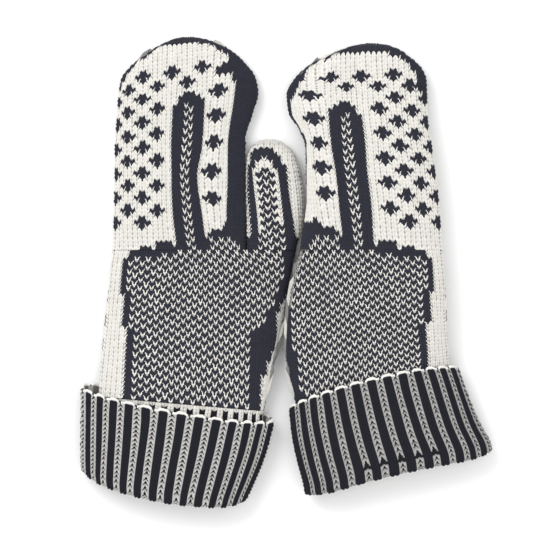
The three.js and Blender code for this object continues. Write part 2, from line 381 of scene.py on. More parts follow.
def wandering(surface, random):
    """The surface with its wales, and then its rows, moved a little to and fro by WANDER * the sum of
    sin(n * turn + drift * row + start) for each n of WANDER_TURNS; turn is the angle round the tube."""
    row = (np.arange(len(surface)) / ALONG)[:, None]
    turn = np.arange(surface.shape[1]) * 2 * math.pi / surface.shape[1]
    fade = np.clip(np.minimum(row, row[-1] - row) / WANDER_FADE, 0, 1)
    around = unit(np.roll(surface, -1, axis=1) - np.roll(surface, 1, axis=1))
    for direction in (around, unit(np.gradient(surface, axis=0))):
        waves = [np.sin(n * turn + random.normal(0, WANDER_DRIFT) * row + random.uniform(0, WANDER_START))
                 for n in WANDER_TURNS]
        surface = surface + direction * (WANDER * fade * sum(waves))[..., None]
    return surface


RISE = 0.66  # how far a V's arms reach past its foot, in rows
RELIEF = 0.75 * mm  # how far a strand stands out of the fabric
LEG_ROUNDNESS = 0.8  # power of the sine across a leg
LEG_DIP = 0.75  # share of its relief that a leg loses at its two ends
WIDEST = 1.1  # relief of a stretched stitch, as a share of a natural one's
TENSION_SHIFT = 0.07  # how far a tighter stitch shifts along its wale, in rows
TENSION_RELIEF = 0.14  # and how much more it stands out
LEG_CREASE = 0.3  # shade in the crease between a V's two legs
WALE_CREASE = 0.14  # shade between two wales
FOOT_CREASE = 0.2  # shade where one V's foot sits in the next
HOLE = (1.0, 0.75)  # shade in the small hole over a V's foot, and one step above it
TENSION_CREASE, TENSION_HOLE = 0.1, 0.3  # how much darker tension makes a crease and a hole


def knit_grid(surface, outward, relief, hang, ribbing, random):
    """Knitted points over a smooth surface, and how deep in shade each one lies, 0 to 1. Each grid line is
    shifted along its wale by RISE * |2 frac(u) - 1| rows, which makes every stitch a V, and each leg stands
    out by relief * sin(pi a)^LEG_ROUNDNESS * (1 - LEG_DIP + LEG_DIP * sin(pi b)^0.5) over its own width a
    and length b. hang is -1 where the Vs stand on their heads. ribbing lifts every other wale by
    ribbing * (1 - cos(pi (u - 0.5))) / 2."""
    steps, columns = surface.shape[:2]
    rows = (steps - 1) // ALONG
    v = (np.arange(steps) / ALONG)[:, None]
    step = np.arange(columns)
    u = (step / ACROSS)[None, :]
    tension = random.normal(0, 1, (rows + 1, columns // ACROSS))
    tension = tension[np.arange(steps) // ALONG][:, step // ACROSS]
    ends = np.clip(2 * np.minimum(v, rows - v), 0, 1)
    shift = hang * RISE * (np.abs(2 * (u % 1) - 1) - 0.5) + TENSION_SHIFT * tension
    lifted = np.clip(v + ends * shift, 0, rows) * ALONG
    low = np.minimum(lifted.astype(int), steps - 2)
    part = (lifted - low)[..., None]
    points = surface[low, step] * (1 - part) + surface[low + 1, step] * part
    normal = unit(outward[low, step] * (1 - part) + outward[low + 1, step] * part)
    leg = np.sin(math.pi * ((2 * u) % 1)) ** LEG_ROUNDNESS
    length = np.where(ends < 0.5, 1, np.sin(math.pi * (v % 1)) ** 0.5)
    around = np.roll(surface, -1, axis=1) - np.roll(surface, 1, axis=1)
    size = np.clip(np.linalg.norm(around, axis=-1) * ACROSS / 2 / GAUGE, 0, WIDEST)
    bump = relief * size * leg * (1 - LEG_DIP + LEG_DIP * length) * (1 + TENSION_RELIEF * tension * ends)
    ridge = ribbing * (1 - np.cos(math.pi * (u - 0.5))) / 2
    points = points + normal * (bump + ridge * ends)[..., None]

    # Painted shade at each point: in the creases between legs, wales and rows, and in the small hole over
    # each V's foot.
    in_middle = (step % ACROSS == ACROSS // 2)[None, :]
    up = (np.arange(steps) % ALONG)[:, None]
    crease_shade = np.where(step % ACROSS == 0, WALE_CREASE, FOOT_CREASE * (1 - length))
    crease_shade = np.where(in_middle, LEG_CREASE + TENSION_CREASE * tension, crease_shade)
    hole = np.where(up == 0, *HOLE) + TENSION_HOLE * tension
    gap = np.where(in_middle & (up < 2) & (ends == 1), hole, crease_shade)
    return points, np.clip(gap, 0, 1) * np.minimum(size, 1)


def mark_fabric(piece, dark, gap, lining_count, facing):
    """Marks each face with its yarn, 1 for dark and 0 for light, with stripes on the lining and a middle
    tone on the rims, and each knitted point with its gap, the painted shade between the strands. The stitch
    map counts stitches and rows. The bake map spreads the knitting over most of the square, and everything
    else shares one point above it."""
    mesh = piece.data
    columns, knit_count = dark.shape[1], dark.size
    yarn = np.full(len(mesh.polygons), 0.5)
    yarn[:knit_count] = dark.ravel()
    yarn[knit_count:knit_count + lining_count] = 0.25 + 0.5 * (np.arange(lining_count) // ACROSS % 2)
    mesh.attributes.new("yarn_dark", "FLOAT", "FACE").data.foreach_set("value", yarn)
    gaps = np.zeros(len(mesh.vertices))
    gaps[:gap.size] = gap.ravel()
    mesh.attributes.new("gap", "FLOAT", "POINT").data.foreach_set("value", gaps)
    corner = np.array([[0, 0], [1, 0], [1, 1], [0, 1]])[::facing]
    row_of, column_of = np.divmod(np.arange(knit_count), columns)
    place = np.stack([column_of, row_of], axis=-1)[:, None, :] + corner
    for layer, scale, rest in (("stitch", (1 / ACROSS, 1 / ALONG), (0, 0)),
                               ("OFBake", (1 / columns, 0.9 / len(gap)), (0.5, 0.95))):
        uv = np.full((len(mesh.loops), 2), rest, float)
        uv[:knit_count * 4] = (place * scale).reshape(-1, 2)
        mesh.uv_layers.new(name=layer).data.foreach_set("uv", uv.ravel())


LINING_DEPTH = 1.8 * mm  # how far the lining stands in from the knitting
LINING_SHARE = 0.3  # the most that it stands in, as a share of the tube's height
LINING_STEP = 4  # rows between two rings of the lining
LINING_STOP = 3  # rows that the lining of a closed tube ends before the tip
TABLE = 0.1 * mm  # wool that rests on the table lies flat on it, at this height


def knit_piece(name, surface, dark, facing, relief=RELIEF, closed_tip=False, seed=1, hang=1, ribbing=0):
    """Knits a tube over a smooth surface and puts a plain lining inside it, joined to it at the open ends.
    facing is -1 where the rings run clockwise, seen from the tube's far end."""
    random = np.random.default_rng(seed)
    surface = wandering(surface, random)
    around = np.roll(surface, -1, axis=1) - np.roll(surface, 1, axis=1)
    outward = facing * unit(np.cross(around, np.gradient(surface, axis=0)))
    points, gap = knit_grid(surface, outward, relief, hang, ribbing, random)
    steps, columns = gap.shape
    height = surface[..., 2].max(axis=1) - surface[..., 2].min(axis=1)
    depth = np.minimum(LINING_DEPTH, LINING_SHARE * height)
    last = steps - 1 - (LINING_STOP * ALONG if closed_tip else 0)
    kept = np.unique(np.append(np.arange(0, last, ALONG * LINING_STEP), last))
    lining = surface[kept] - outward[kept] * depth[kept, None, None]
    vertices = np.concatenate([points.reshape(-1, 3), lining.reshape(-1, 3)])
    vertices[:, 2] = np.maximum(vertices[:, 2], TABLE)
    ring = np.arange(gap.size).reshape(-1, columns)
    inner = gap.size + np.arange(len(kept) * columns).reshape(-1, columns)
    quads = [ring_quads(ring[:-1], ring[1:]), ring_quads(inner[:-1], inner[1:])[:, ::-1],
             ring_quads(inner[0], ring[0])]
    knit_count, lining_count = len(quads[0]), len(quads[1])
    triangles = np.zeros((0, 3), int)
    if closed_tip:
        cap, cap_ends = tip_faces(ring[-1])
        inner_cap, inner_ends = tip_faces(inner[-1])
        quads += [cap, inner_cap[:, ::-1]]
        triangles = np.concatenate([cap_ends, inner_ends[:, ::-1]])
    else:
        quads.append(ring_quads(ring[-1], inner[-1]))
    quads = np.concatenate(quads)
    if facing < 0:
        quads, triangles = quads[:, ::-1], triangles[:, ::-1]
    piece = mesh_piece(name, vertices, quads, triangles, knit_count)
    mark_fabric(piece, dark, gap, lining_count, facing)
    return piece


def v_shaped(dark):
    """Spreads a chart of stitches over the grid. A light stitch with dark neighbours keeps only the slim
    legs of its V: the steps beside its foot and the notch between its arms take the dark yarn."""
    rows, stitches = dark.shape
    r, c = np.arange(rows * ALONG)[:, None], np.arange(stitches * ACROSS)[None, :]
    here = dark[r // ALONG, c // ACROSS]
    beside = np.where(c % ACROSS < ACROSS // 2, dark[r // ALONG, (c // ACROSS - 1) % stitches],
                      dark[r // ALONG, (c // ACROSS + 1) % stitches])
    next_row = r // ALONG + 1
    over = np.where(next_row < rows, dark[np.minimum(next_row, rows - 1), c // ACROSS], beside)
    up, across = r % ALONG, c % ACROSS
    outermost = (across == 0) | (across == ACROSS - 1)
    off_foot = (across < 2) | (across > 3)
    in_notch = ~off_foot & (up == ALONG - 1)
    at_side = (outermost & (up < ALONG - 1)) | (off_foot & (up == 0))
    covered = (at_side & (beside == 1)) | (in_notch & (over == 1))
    return np.where((here == 0) & covered, 1.0, here)


def stitch_middles(surface):
    """The middle of each stitch, as a grid of points."""
    return surface[ALONG // 2::ALONG, ACROSS // 2::ACROSS]


PLUS_STEP = 3


def plus_lattice(k, j):
    """True where stitch k of row j belongs to a plus of five stitches. The pluses stand in a diagonal
    lattice, PLUS_STEP apart each way."""
    near_k, near_j = np.round(k / PLUS_STEP), np.round(j / PLUS_STEP)
    inside = np.abs(k - near_k * PLUS_STEP) + np.abs(j - near_j * PLUS_STEP) <= 1
    return inside & ((near_k + near_j) % 2 == 0)


NO_ROW = -99  # stands for a wale without such a stretch
ARCH_STEPS = {13: -3, 14: -1, 15: 0, 16: 0, 17: -1, 18: -2}  # top of the arched stripe, from its middle
PANEL_TOP = {3: -3, 4: -1, 5: -1, 6: 0, 7: 0, 8: -1, 9: 1, 10: 1, 11: 1, 12: 0,
             19: 2, 20: 3, 21: 4, 22: 4, 23: 5, 24: 6}  # top row of the dark palm panel
FLECK_TOP = {20: 2, 21: 2, 22: 2, 23: 2, 24: 2, 25: 1, 26: 0}  # top row of the light flecks in it
SHOULDER = {21: (40, 41), 22: (40, 42), 23: (40, 43), 24: (38, 44)}  # dark rows beside the right tip
BAND_ROWS = [0, 6, 7, 33, 38, 42]  # rows at which the band down the thumb side has its listed widths
FIRST_PLUS, LAST_PLUS = 5, 43  # rows between which there are pluses


def by_wale(heights, k, missing=NO_ROW):
    """The entry in heights for each stitch's wale k, or missing where the wale has none."""
    return np.array([heights.get(wale, missing) for wale in range(PALM)])[k]


def finger_chart(surface, shape):
    """Dark stitches of the finger tube. Palm: pluses over white, an arched stripe with light Vs up its
    middle, the top of the dark palm panel, a band down the thumb side and a rim round the tip. Back: pluses
    over white, and a band. Wales k count from the little finger's side, and rows j from the fork."""
    rows, stitches = (len(surface) - 1) // ALONG, surface.shape[1] // ACROSS
    j, c = np.arange(rows)[:, None], np.arange(stitches)[None, :]
    palm = c < PALM
    k = np.where(palm, c, stitches - 1 - c)
    left_of_stripe = plus_lattice(k, j) & (k < 11)
    above_stripe = plus_lattice(k, j) & (k > 10) & (k < 20) & (j > 37)
    right_of_stripe = plus_lattice(k + 3, j) & (k > 19) & (k < 23) & (j > 10) & (j < 38)
    dark = np.where(palm, left_of_stripe | above_stripe | right_of_stripe, plus_lattice(k, j))
    dark = dark & (j >= FIRST_PLUS) & (j <= LAST_PLUS)

    arch_top = shape["arch_top"]
    dark = dark | (palm & (j <= arch_top + by_wale(ARCH_STEPS, k)))
    light_vs = ((k == 15) | (k == 16)) & ((k + j) % 2 == 0) & (j <= arch_top - 3)
    dark = np.where(palm & light_vs, False, dark)
    dark = dark | (palm & (j <= by_wale(PANEL_TOP, k)))

    place = stitch_middles(surface)
    from_thumb = np.abs(place[..., 0] - surface[ALONG // 2::ALONG, PALM * ACROSS, 0][:, None])
    width = smooth_through(j[:, 0], BAND_ROWS, np.array(shape["band"]) * mm)[:, None]
    slim_band = (from_thumb < width) | ((k > 24) & (j < 6))
    dark = dark | np.where(palm & (shape["band"][0] == 0), slim_band, k > 24)
    dark = np.where(palm & (j <= by_wale(FLECK_TOP, k)) & ((k + j) % 2 == 0), False, dark)

    outline = np.concatenate([surface[:, 0], surface[:, PALM * ACROSS]])[::3, :2]
    from_edge = np.linalg.norm(place[:, :, None, :2] - outline, axis=-1).min(axis=2)
    dark = np.where((j > LAST_PLUS) & (k > 19), False, dark)
    dark = dark | ((from_edge < np.where(k < PALM / 2, *shape["rim"]) * mm) & (j > rows - 13))
    dark = dark | ((j > rows - 3) & (k < 18))
    if shape["shoulder"]:
        low, high = np.moveaxis(by_wale(SHOULDER, k, (99, 0)), -1, 0)
        dark = dark | ((j >= low) & (j <= high))
    return dark.astype(float)


def edge_line(y, outline):
    """Points x, y of a folded edge, read from its outline of y, x pairs in mm."""
    ys, xs = np.array(outline).T
    return np.stack([smooth_through(y, ys, xs), y], axis=-1) * mm


def finger_tube(shape):
    """The finger tube's surface for one mitten."""
    v = np.arange(shape["rows"] * ALONG + 1) / ALONG
    start_y = smooth_through(v, shape["row_marks"], shape["pinky_y"])
    end_y = smooth_through(v, shape["row_marks"], shape["thumb_y"])
    level = (start_y + end_y) / 2
    height = smooth_through(level, *np.array(shape["height"]).T) * mm
    bottom = smooth_through(level, *np.array(shape["bottom"]).T) * mm
    lines = np.array([smooth_through(level, shape["guide_y"], xs) for xs in shape["guides"].values()])
    natural = smooth_through(np.arange(PALM * ACROSS + 1) / ACROSS, list(shape["guides"]), lines) * mm
    return flat_tube(edge_line(start_y, shape["pinky_edge"]), edge_line(end_y, shape["thumb_edge"]), 0 * v,
                     bottom, height, PALM, natural, square=(0, 4))


# Edges, heights and undersides are pairs of y and x or z in mm. row_marks are the rows that lie at the
# listed ys. guides give the x of a few wales at each guide_y; a wale past an edge crowds towards it.
right_fingers = {
    "rows": 52,
    "arch_top": 36,
    "shoulder": True,
    "rim": (1.6, 2.6),
    "band": [9, 9, 9, 9, 9, 9],
    "row_marks": [0, 12.5, 18.5, 24.5, 36.5, 39.5, 42.5, 47, 52],
    "pinky_y": [13.9, 45.4, 59.5, 74, 103, 108.7, 116, 128.5, 142],
    "thumb_y": [13.9, 45, 62, 80.5, 113, 121, 128, 136.5, 142.2],
    "pinky_edge": [(13.9, -104.6), (45, -103.6), (81, -103), (94, -102), (109, -100.8), (117, -99.2),
                   (128, -90), (135, -80), (140, -71), (142.2, -65)],
    "thumb_edge": [(13.9, -24.6), (45, -25.2), (81, -25.2), (94, -21.5), (109, -17.3), (117, -18.8),
                   (128, -26.5), (135, -35), (140, -46), (142.2, -54)],
    "height": [(14, 12.5), (94, 12.3), (109, 12), (117, 11.5), (128, 10.5), (135, 8.5), (140, 5),
               (142.2, 1.4)],
    "bottom": [(14, 0), (143, 0)],
    "guide_y": [13.9, 35, 59, 75, 104, 116, 128],
    "guides": {
        0: [-104.6, -104, -103.6, -103.4, -102.8, -102.6, -102],
        3.5: [-95.1, -95.7, -95.7, -95.7, -95.7, -95.1, -93.9],
        6.5: [-86.1, -86.7, -86.7, -86.7, -86.7, -86.4, -86.1],
        9.5: [-76.8, -77.7, -77.7, -77.7, -77.7, -77.7, -77.7],
        13: [-65.7, -68.1, -69.3, -69.3, -68.1, -67.5, -67.5],
        19: [-48.3, -51.3, -53.7, -51.3, -49.5, -49.2, -48.9],
        20: [-45.5, -48.9, -51.3, -49.4, -46.9, -45.9, -45.3],
        23: [-37.5, -38.6, -39.3, -38.4, -35.9, -34.9, -33.6],
        25: [-32.1, -35.7, -35.3, -34.8, -30.9, -29.1, -27.3],
        30: [-17.1, -20.7, -20.7, -20.1, -16.5, -14.7, -12.9],
    },
}
left_fingers = {
    "rows": 50,
    "arch_top": 34,
    "shoulder": False,
    "rim": (4.4, 1.6),
    "band": [0, 0, 0, 1.5, 5, 5],
    "row_marks": [0, 12.5, 30.5, 36.5, 42.5, 50],
    "pinky_y": [13.9, 46, 90.4, 105, 120.5, 138.2],
    "thumb_y": [13.9, 48.6, 93, 107.6, 116, 138.4],
    "thumb_edge": [(13.9, 8.5), (45, 12.2), (75, 11.6), (88, 7), (96, 1.6), (108, 0.4), (117, 5.1),
                   (124, 12.3), (131, 23.7), (136, 37), (138.4, 46)],
    "pinky_edge": [(13.9, 93.6), (45, 91.2), (75, 87.2), (88, 85.3), (96, 84.6), (108, 84.4),
                   (117, 84), (124, 80.5), (131, 73), (136, 65), (138.4, 57)],
    "height": [(14, 12.5), (88, 12.3), (108, 11.9), (117, 11.5), (124, 11), (131, 9.5), (136, 6.5),
               (138.4, 1.4)],
    "bottom": [(14, 9.9), (75, 9.9), (88, 8.9), (96, 7.2), (108, 4.6), (117, 2.8), (124, 1.6),
               (131, 0.7), (138.4, 0)],
    "guide_y": [13.9, 40, 63, 77, 98, 113, 125],
    "guides": {
        0: [93.6, 92, 90, 88, 85.5, 84.5, 84],
        3.5: [84.5, 81.9, 80.1, 78, 75.3, 74.1, 73.5],
        6.5: [74.7, 72.9, 70.5, 68.4, 66, 64.5, 63.9],
        9.5: [64.5, 62.1, 59.7, 58.2, 56.1, 54.9, 54.3],
        13: [52.5, 50.7, 48.3, 47.1, 44.7, 43.5, 42.9],
        19: [35.1, 32.1, 29.1, 27.3, 25.5, 24.9, 24.9],
        20: [32.3, 29.8, 27.3, 25.2, 21.9, 20.4, 19.8],
        23: [24.2, 18.4, 13.7, 12.4, 8.8, 5.8, 5],
        25: [18.9, 13.5, 9.5, 8, 4.3, 2, 1],
        30: [5.7, -1.5, -5, -7.5, -12, -13.5, -14.5],
    },
}
FACING = {"right": 1, "left": -1}
finger_wool = wool_material("finger_wool")
for hand, shape in (("right", right_fingers), ("left", left_fingers)):
    surface = finger_tube(shape)
    dark = v_shaped(finger_chart(surface, shape))
    piece = knit_piece(f"{hand}_finger_tube", surface, dark, FACING[hand], closed_tip=True, seed=11)
    piece.data.materials.append(finger_wool)
    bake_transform(piece)
    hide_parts(f"{hand}_fingers_palm", f"{hand}_fingers_back")

# --------------------------------------
# Hands
# The hand of each mitten, with the thumb gusset, is one tube of stranded
# knitting. Light stitches fleck the dark palm one by one; the back is white.
HAND_ROWS = 36
GUSSET = 10  # stitches of the gusset on each side


def hand_chart(surface, shape):
    """Dark stitches of the hand: the flecked palm panel with its stepped border, white beside it, a dark
    band that slants in towards the wrist on the thumb side, white again beyond it, and pluses over white on
    the back. Rows j count down from the fork, so they are negative."""
    rows, stitches = (len(surface) - 1) // ALONG, surface.shape[1] // ACROSS
    front = stitches // 2
    j, c = np.arange(rows)[:, None] - rows, np.arange(stitches)[None, :]
    palm = c < front
    k = np.where(palm, c, stitches - 1 - c)
    border = np.where(j > -12, 3, np.where(j > -20, 4, 5))
    panel = palm & (k >= border) & ((k > 3) | (j <= -3))
    light_top = np.where(k < 9, -3, np.where(k < 13, -2, -1))
    flecks = panel & (k > border) & (j <= light_top) & ((k + j) % 2 == 0)
    place = stitch_middles(surface)
    band_y, inner, outer = np.array(shape["band"]).T * mm
    toward_thumb = np.sign(shape["thumb_x"][0] - shape["pinky_x"][0])
    x, y = place[..., 0], place[..., 1]
    in_band = (x - smooth_through(y, band_y, inner)) * toward_thumb > 0
    past_band = (x - smooth_through(y, band_y, outer)) * toward_thumb > 0
    dark = np.where(palm, (panel & ~flecks) | in_band, plus_lattice(k, j) | (k > PALM - 5))
    return np.where(palm & past_band, False, dark).astype(float)


def hand_tube(shape):
    """The hand tube's surface for one mitten, from the wrist to the fork."""
    v = np.arange(HAND_ROWS * ALONG + 1) / ALONG
    read = {key: smooth_through(v, shape["row_marks"], values)
            for key, values in shape.items() if key not in ("row_marks", "guides", "guide_rows", "band")}
    start = np.stack([read["pinky_x"], read["pinky_y"]], axis=-1) * mm
    end = np.stack([read["thumb_x"], read["thumb_y"]], axis=-1) * mm
    lines = np.array([smooth_through(v, shape["guide_rows"], xs) for xs in shape["guides"].values()])
    front = PALM + GUSSET
    natural = smooth_through(np.arange(front * ACROSS + 1) / ACROSS, list(shape["guides"]), lines) * mm
    return flat_tube(start, end, 0 * v, read["bottom"] * mm, read["height"] * mm, front, natural, keep=0.96)


# The first lists are read at row_marks, and the guides at guide_rows, counted up from the wrist. The band's
# entries are y and the x of its two edges.
right_hand = {
    "row_marks": [0, 10.6, 23.7, 36],
    "pinky_x": [-113, -111, -107.6, -104.6],
    "pinky_y": [-74.3, -48, -16, 13.9],
    "thumb_x": [-14, -7.5, -0.2, 5.4],
    "thumb_y": [-83, -52, -17, 13.9],
    "bottom": [3.5, 1.6, 0.3, 0],
    "height": [14, 13.2, 12.6, 12.5],
    "guide_rows": [0, 14, 25.5, 32.4, 36],
    "guides": {
        0: [-113.1, -110.1, -107.1, -105.6, -104.7],
        3.5: [-103.2, -101, -98.5, -97, -95.1],
        6.5: [-92, -90.5, -88.5, -87, -86.1],
        9.5: [-80.5, -79, -77.7, -76.1, -76.8],
        13: [-68, -67.2, -66, -64.7, -65.7],
        19: [-48.3, -47.7, -47.5, -47.3, -48.3],
        25: [-28.5, -27.9, -28, -28.7, -32.1],
        30: [-12.9, -12.3, -12.3, -13.5, -17.1],
        34: [0, -0.5, -1.5, -1.5, -3],
        40: [17, 16, 14, 9.9, 6.9],
    },
    "band": [(-84, -23.7, -17), (-68, -23.4, -15.3), (-55, -23, -12.3), (-47, -22.5, -8),
             (-37, -19.5, -7), (-28, -13.5, -6.3), (-19, -8.7, -2.7), (-7, -3.9, 2.1), (6, -1.5, 6.3),
             (14, -1.5, 9)],
}
left_hand = {
    "row_marks": [0, 11, 23.7, 36],
    "thumb_x": [6.2, -0.2, 1.6, 8.4],
    "thumb_y": [-80.5, -49, -17, 13.9],
    "pinky_x": [98.4, 96.7, 95.3, 93.6],
    "pinky_y": [-62.5, -42, -14, 13.9],
    "bottom": [3.5, 7, 9.9, 9.9],
    "height": [14, 13.2, 12.6, 12.5],
    "guide_rows": [0, 8, 18, 25.5, 32, 36],
    "guides": {
        0: [98.4, 97, 96, 95.2, 94, 93.6],
        3.5: [90, 89.5, 88.2, 87, 86.1, 84.5],
        6.5: [79.5, 79, 77, 76.5, 76, 74.7],
        9.5: [69.5, 69, 67.2, 66.5, 65.8, 64.5],
        13: [58.5, 58, 56.3, 55.3, 54, 52.5],
        19: [41, 40, 38.5, 37.5, 36, 35.1],
        25: [23, 22, 20.7, 20.3, 19.6, 18.9],
        30: [8, 7, 6, 5.8, 5.7, 5.7],
        34: [-4, -5, -6, -6, -5.5, -5],
        40: [-22, -23, -24, -24, -22, -20],
    },
    "band": [(-84, 12.5, -20), (-60, 6.5, -20), (-40, 4.4, -20), (-24, 3.6, -20), (-18, 1, -20),
             (14, 3, -20)],
}
hand_wool = wool_material("hand_wool")
for hand, shape in (("right", right_hand), ("left", left_hand)):
    surface = hand_tube(shape)
    dark = v_shaped(hand_chart(surface, shape))
    piece = knit_piece(f"{hand}_hand_tube", surface, dark, FACING[hand], seed=23)
    piece.data.materials.append(hand_wool)
    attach(piece, f"{hand}_hand")
    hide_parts(f"{hand}_hand_palm", f"{hand}_hand_back", f"{hand}_thumb_gusset")

# --------------------------------------
# Thumbs
# Small closed tubes, knitted like the fingers: nested arches of dark and
# white stitches on the palm side, with a flecked middle.
THUMB_ROWS = 27
THUMB_FRONT = 12
THUMB_LENGTH = 66.2  # in mm
OUTER_ARCH = [2, 20, 23, 24, 24, 24, 23, 22, 20, 2, 2, -1]
INNER_ARCH = {2: (5, 19), 3: (20, 21), 4: (21, 22), 5: (20, 21), 6: (6, 19)}


def thumb_chart(surface):
    """Dark stitches of a thumb: on the palm side a dark arch, a white arch inside it, and flecks inside
    that, each given by its rows for every wale from the finger side outwards; pluses on the back."""
    j, c = np.arange(THUMB_ROWS)[:, None], np.arange(THUMB_FRONT * 2)[None, :]
    palm = c < THUMB_FRONT
    k = np.where(palm, c, THUMB_FRONT * 2 - 1 - c)
    low, high = np.moveaxis(by_wale(INNER_ARCH, k, (99, 0)), -1, 0)
    dark = (j <= np.array(OUTER_ARCH)[k]) & ~((j >= low) & (j <= high))
    flecks = (k > 1) & (k < 7) & (j < low) & ((k + j) % 2 == 0)
    back = plus_lattice(k, j) | (k == 1) | ((k == 0) & (j < 3))
    return np.where(palm, dark & ~flecks, back).astype(float)


thumb_shape = {
    "row_marks": np.array([0, 16, 31, 46, 56, 62, 66.2]) / THUMB_LENGTH * THUMB_ROWS,
    "inner": [-14.4, -14.3, -14.5, -14.7, -13.9, -11.4, -5],
    "outer": [14.6, 18.6, 19.3, 17.1, 14.4, 10.4, 4],
    "taper": [1, 1, 1, 1, 0.95, 0.75, 0.15],
}
thumb_guides = {
    0: [-14.6, -14.6, -16.5, -16],
    1: [-12.2, -11.6, -14.2, -14.2],
    2: [-7.9, -8.2, -10.9, -12.1],
    3: [-4.9, -5.8, -8.5, -9.7],
    6: [5.9, 5, 2.3, 0.8],
    7: [9.2, 8.6, 5, 3.2],
    9: [15.5, 13.7, 10.1, 8.3],
    12: [23.3, 22.1, 19.1, 16.7],
}
thumb_guide_rows = [0, 4, 16.9, 22]
thumb_wool = wool_material("thumb_wool")
# Where each thumb starts, as x and y in mm, and how far it is turned, in degrees.
thumb_place = {"right": (-9.2, 13.9, 0), "left": (29, 6, -8)}
for hand, (at_x, at_y, turned) in thumb_place.items():
    v = np.arange(THUMB_ROWS * ALONG + 1) / ALONG
    inner, outer, taper = (smooth_through(v, thumb_shape["row_marks"], thumb_shape[key])
                           for key in ("inner", "outer", "taper"))
    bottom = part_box(f"{hand}_thumb_back")[0].z
    height = (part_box(f"{hand}_thumb_palm")[1].z - bottom) * taper
    along = v / THUMB_ROWS * THUMB_LENGTH
    start, end = (np.stack([edge * FACING[hand], along], axis=-1) * mm for edge in (inner, outer))
    lines = np.array([smooth_through(v, thumb_guide_rows, xs) for xs in thumb_guides.values()])
    natural = smooth_through(np.arange(THUMB_FRONT * ACROSS + 1) / ACROSS, list(thumb_guides), lines) * mm
    surface = flat_tube(start, end, 0 * v, bottom + 0 * v, height, THUMB_FRONT, natural * FACING[hand],
                        square=(4, 0))
    spin = math.radians(turned)
    x, y = surface[..., 0].copy(), surface[..., 1].copy()
    surface[..., 0] = at_x * mm + x * math.cos(spin) - y * math.sin(spin)
    surface[..., 1] = at_y * mm + x * math.sin(spin) + y * math.cos(spin)
    dark = v_shaped(thumb_chart(surface))
    piece = knit_piece(f"{hand}_thumb_tube", surface, dark, FACING[hand], closed_tip=True, seed=31)
    piece.data.materials.append(thumb_wool)
    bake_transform(piece)
    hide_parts(f"{hand}_thumb_palm", f"{hand}_thumb_back")

# --------------------------------------
# Wrist ribs
# Below the hand the same tube goes on as ribbing: raised white wales with
# dark hollows between them. It runs down inside the turned-up cuff.
RIB_ROWS = 20
RIB_FRONT = 32
RIB_HOLLOW = 1.0 * mm  # how far the dark wales lie behind the light ones


def rib_tube(shape, rows, front, uneven=0):
    """A ribbed tube's surface; shape gives its two folded edges, bow, bottom and height at a few rows."""
    v = np.arange(rows * ALONG + 1) / ALONG
    read = {key: smooth_through(v, shape["row_marks"], values)
            for key, values in shape.items() if key != "row_marks"}
    start = np.stack([read["pinky_x"], read["pinky_y"]], axis=-1) * mm
    end = np.stack([read["thumb_x"], read["thumb_y"]], axis=-1) * mm
    sag = read["sag"][:, None] * mm if "sag" in read else 0
    corner = read["corner"][:, None] * mm if "corner" in read else 0
    return flat_tube(start, end, read["bow"] * mm, read["bottom"] * mm, read["height"] * mm, front, sag=sag,
                     uneven=uneven, corner=corner)


both_ribs = {"row_marks": [0, 7, 13, 20], "bottom": [3.5, 3.5, 3.5, 3.5], "height": [14, 14, 14, 14]}
right_rib = {**both_ribs,
             "pinky_x": [-118.8, -119.2, -117, -113], "pinky_y": [-121, -106, -90, -74.7],
             "thumb_x": [-27, -20.5, -14.5, -14], "thumb_y": [-137, -118, -98, -83.2],
             "bow": [-2, 0, 0, 0]}
left_rib = {**both_ribs,
            "thumb_x": [16, 11.6, 8.2, 6.2], "thumb_y": [-131.5, -115, -98, -80.7],
            "pinky_x": [118.6, 109.5, 103.8, 98.4], "pinky_y": [-109, -92, -77, -62.7],
            "bow": [1, 0, 0, 0]}
# The ribs' dark yarn, and its lit copy that is mixed in along the fibre noise as painted highlights on its
# fibres
RIB_BLACK = (0.006, 0.006, 0.009, 1)
RIB_BLACK_LIT = (0.022, 0.023, 0.03, 1)
rib_wool = wool_material("rib_wool", 0.8, OFF_WHITE, WHITE_IN_SHADE, RIB_BLACK, RIB_BLACK_LIT)
for hand, shape in (("right", right_rib), ("left", left_rib)):
    surface = rib_tube(shape, RIB_ROWS, RIB_FRONT)
    hollow = np.tile(np.arange(RIB_FRONT * 2) % 2, (RIB_ROWS, 1)).astype(float)
    hollow[-1:] = 0
    grid = np.repeat(np.repeat(hollow, ALONG, axis=0), ACROSS, axis=1)
    piece = knit_piece(f"{hand}_wrist_rib", surface, grid, FACING[hand], seed=41, ribbing=-RIB_HOLLOW)
    piece.data.materials.append(rib_wool)
    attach(piece, f"{hand}_hand")
    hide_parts(f"{hand}_wrist_rib_palm", f"{hand}_wrist_rib_back")

# --------------------------------------
# Turned-up cuffs
# The end of the ribbing is folded up outside the wrist. It shows broad dark
# ribs and narrow white ones, painted grey as the shade in their hollows, whose stitches stand on their
# heads.
CUFF_ROWS = 22
CUFF_FRONT = 26
both_cuffs = {"row_marks": [0, 1.2, 2.6, 4.5, 10, 16, 22],
              "corner": [4, 4, 4, 3, 1, 0, 0],
              "bottom": [3.5, 2, 0.6, 0, 0, 0, 0], "height": [14, 17, 19.8, 21, 21, 21, 21]}
right_cuff = {**both_cuffs,
              "pinky_x": [-119, -120.5, -122, -123, -123.2, -123.2, -123.2],
              "pinky_y": [-117, -122, -122.8, -118, -103, -86, -69],
              "thumb_x": [-28, -26.5, -25, -23, -17.5, -12.4, -8],
              "thumb_y": [-133, -138.5, -139.5, -135, -121, -106, -89],
              "bow": [-6, -6, -6, -4, -2, -1.5, -1.5], "sag": [0, 0, 0, 0.5, 1.5, 3, 4]}
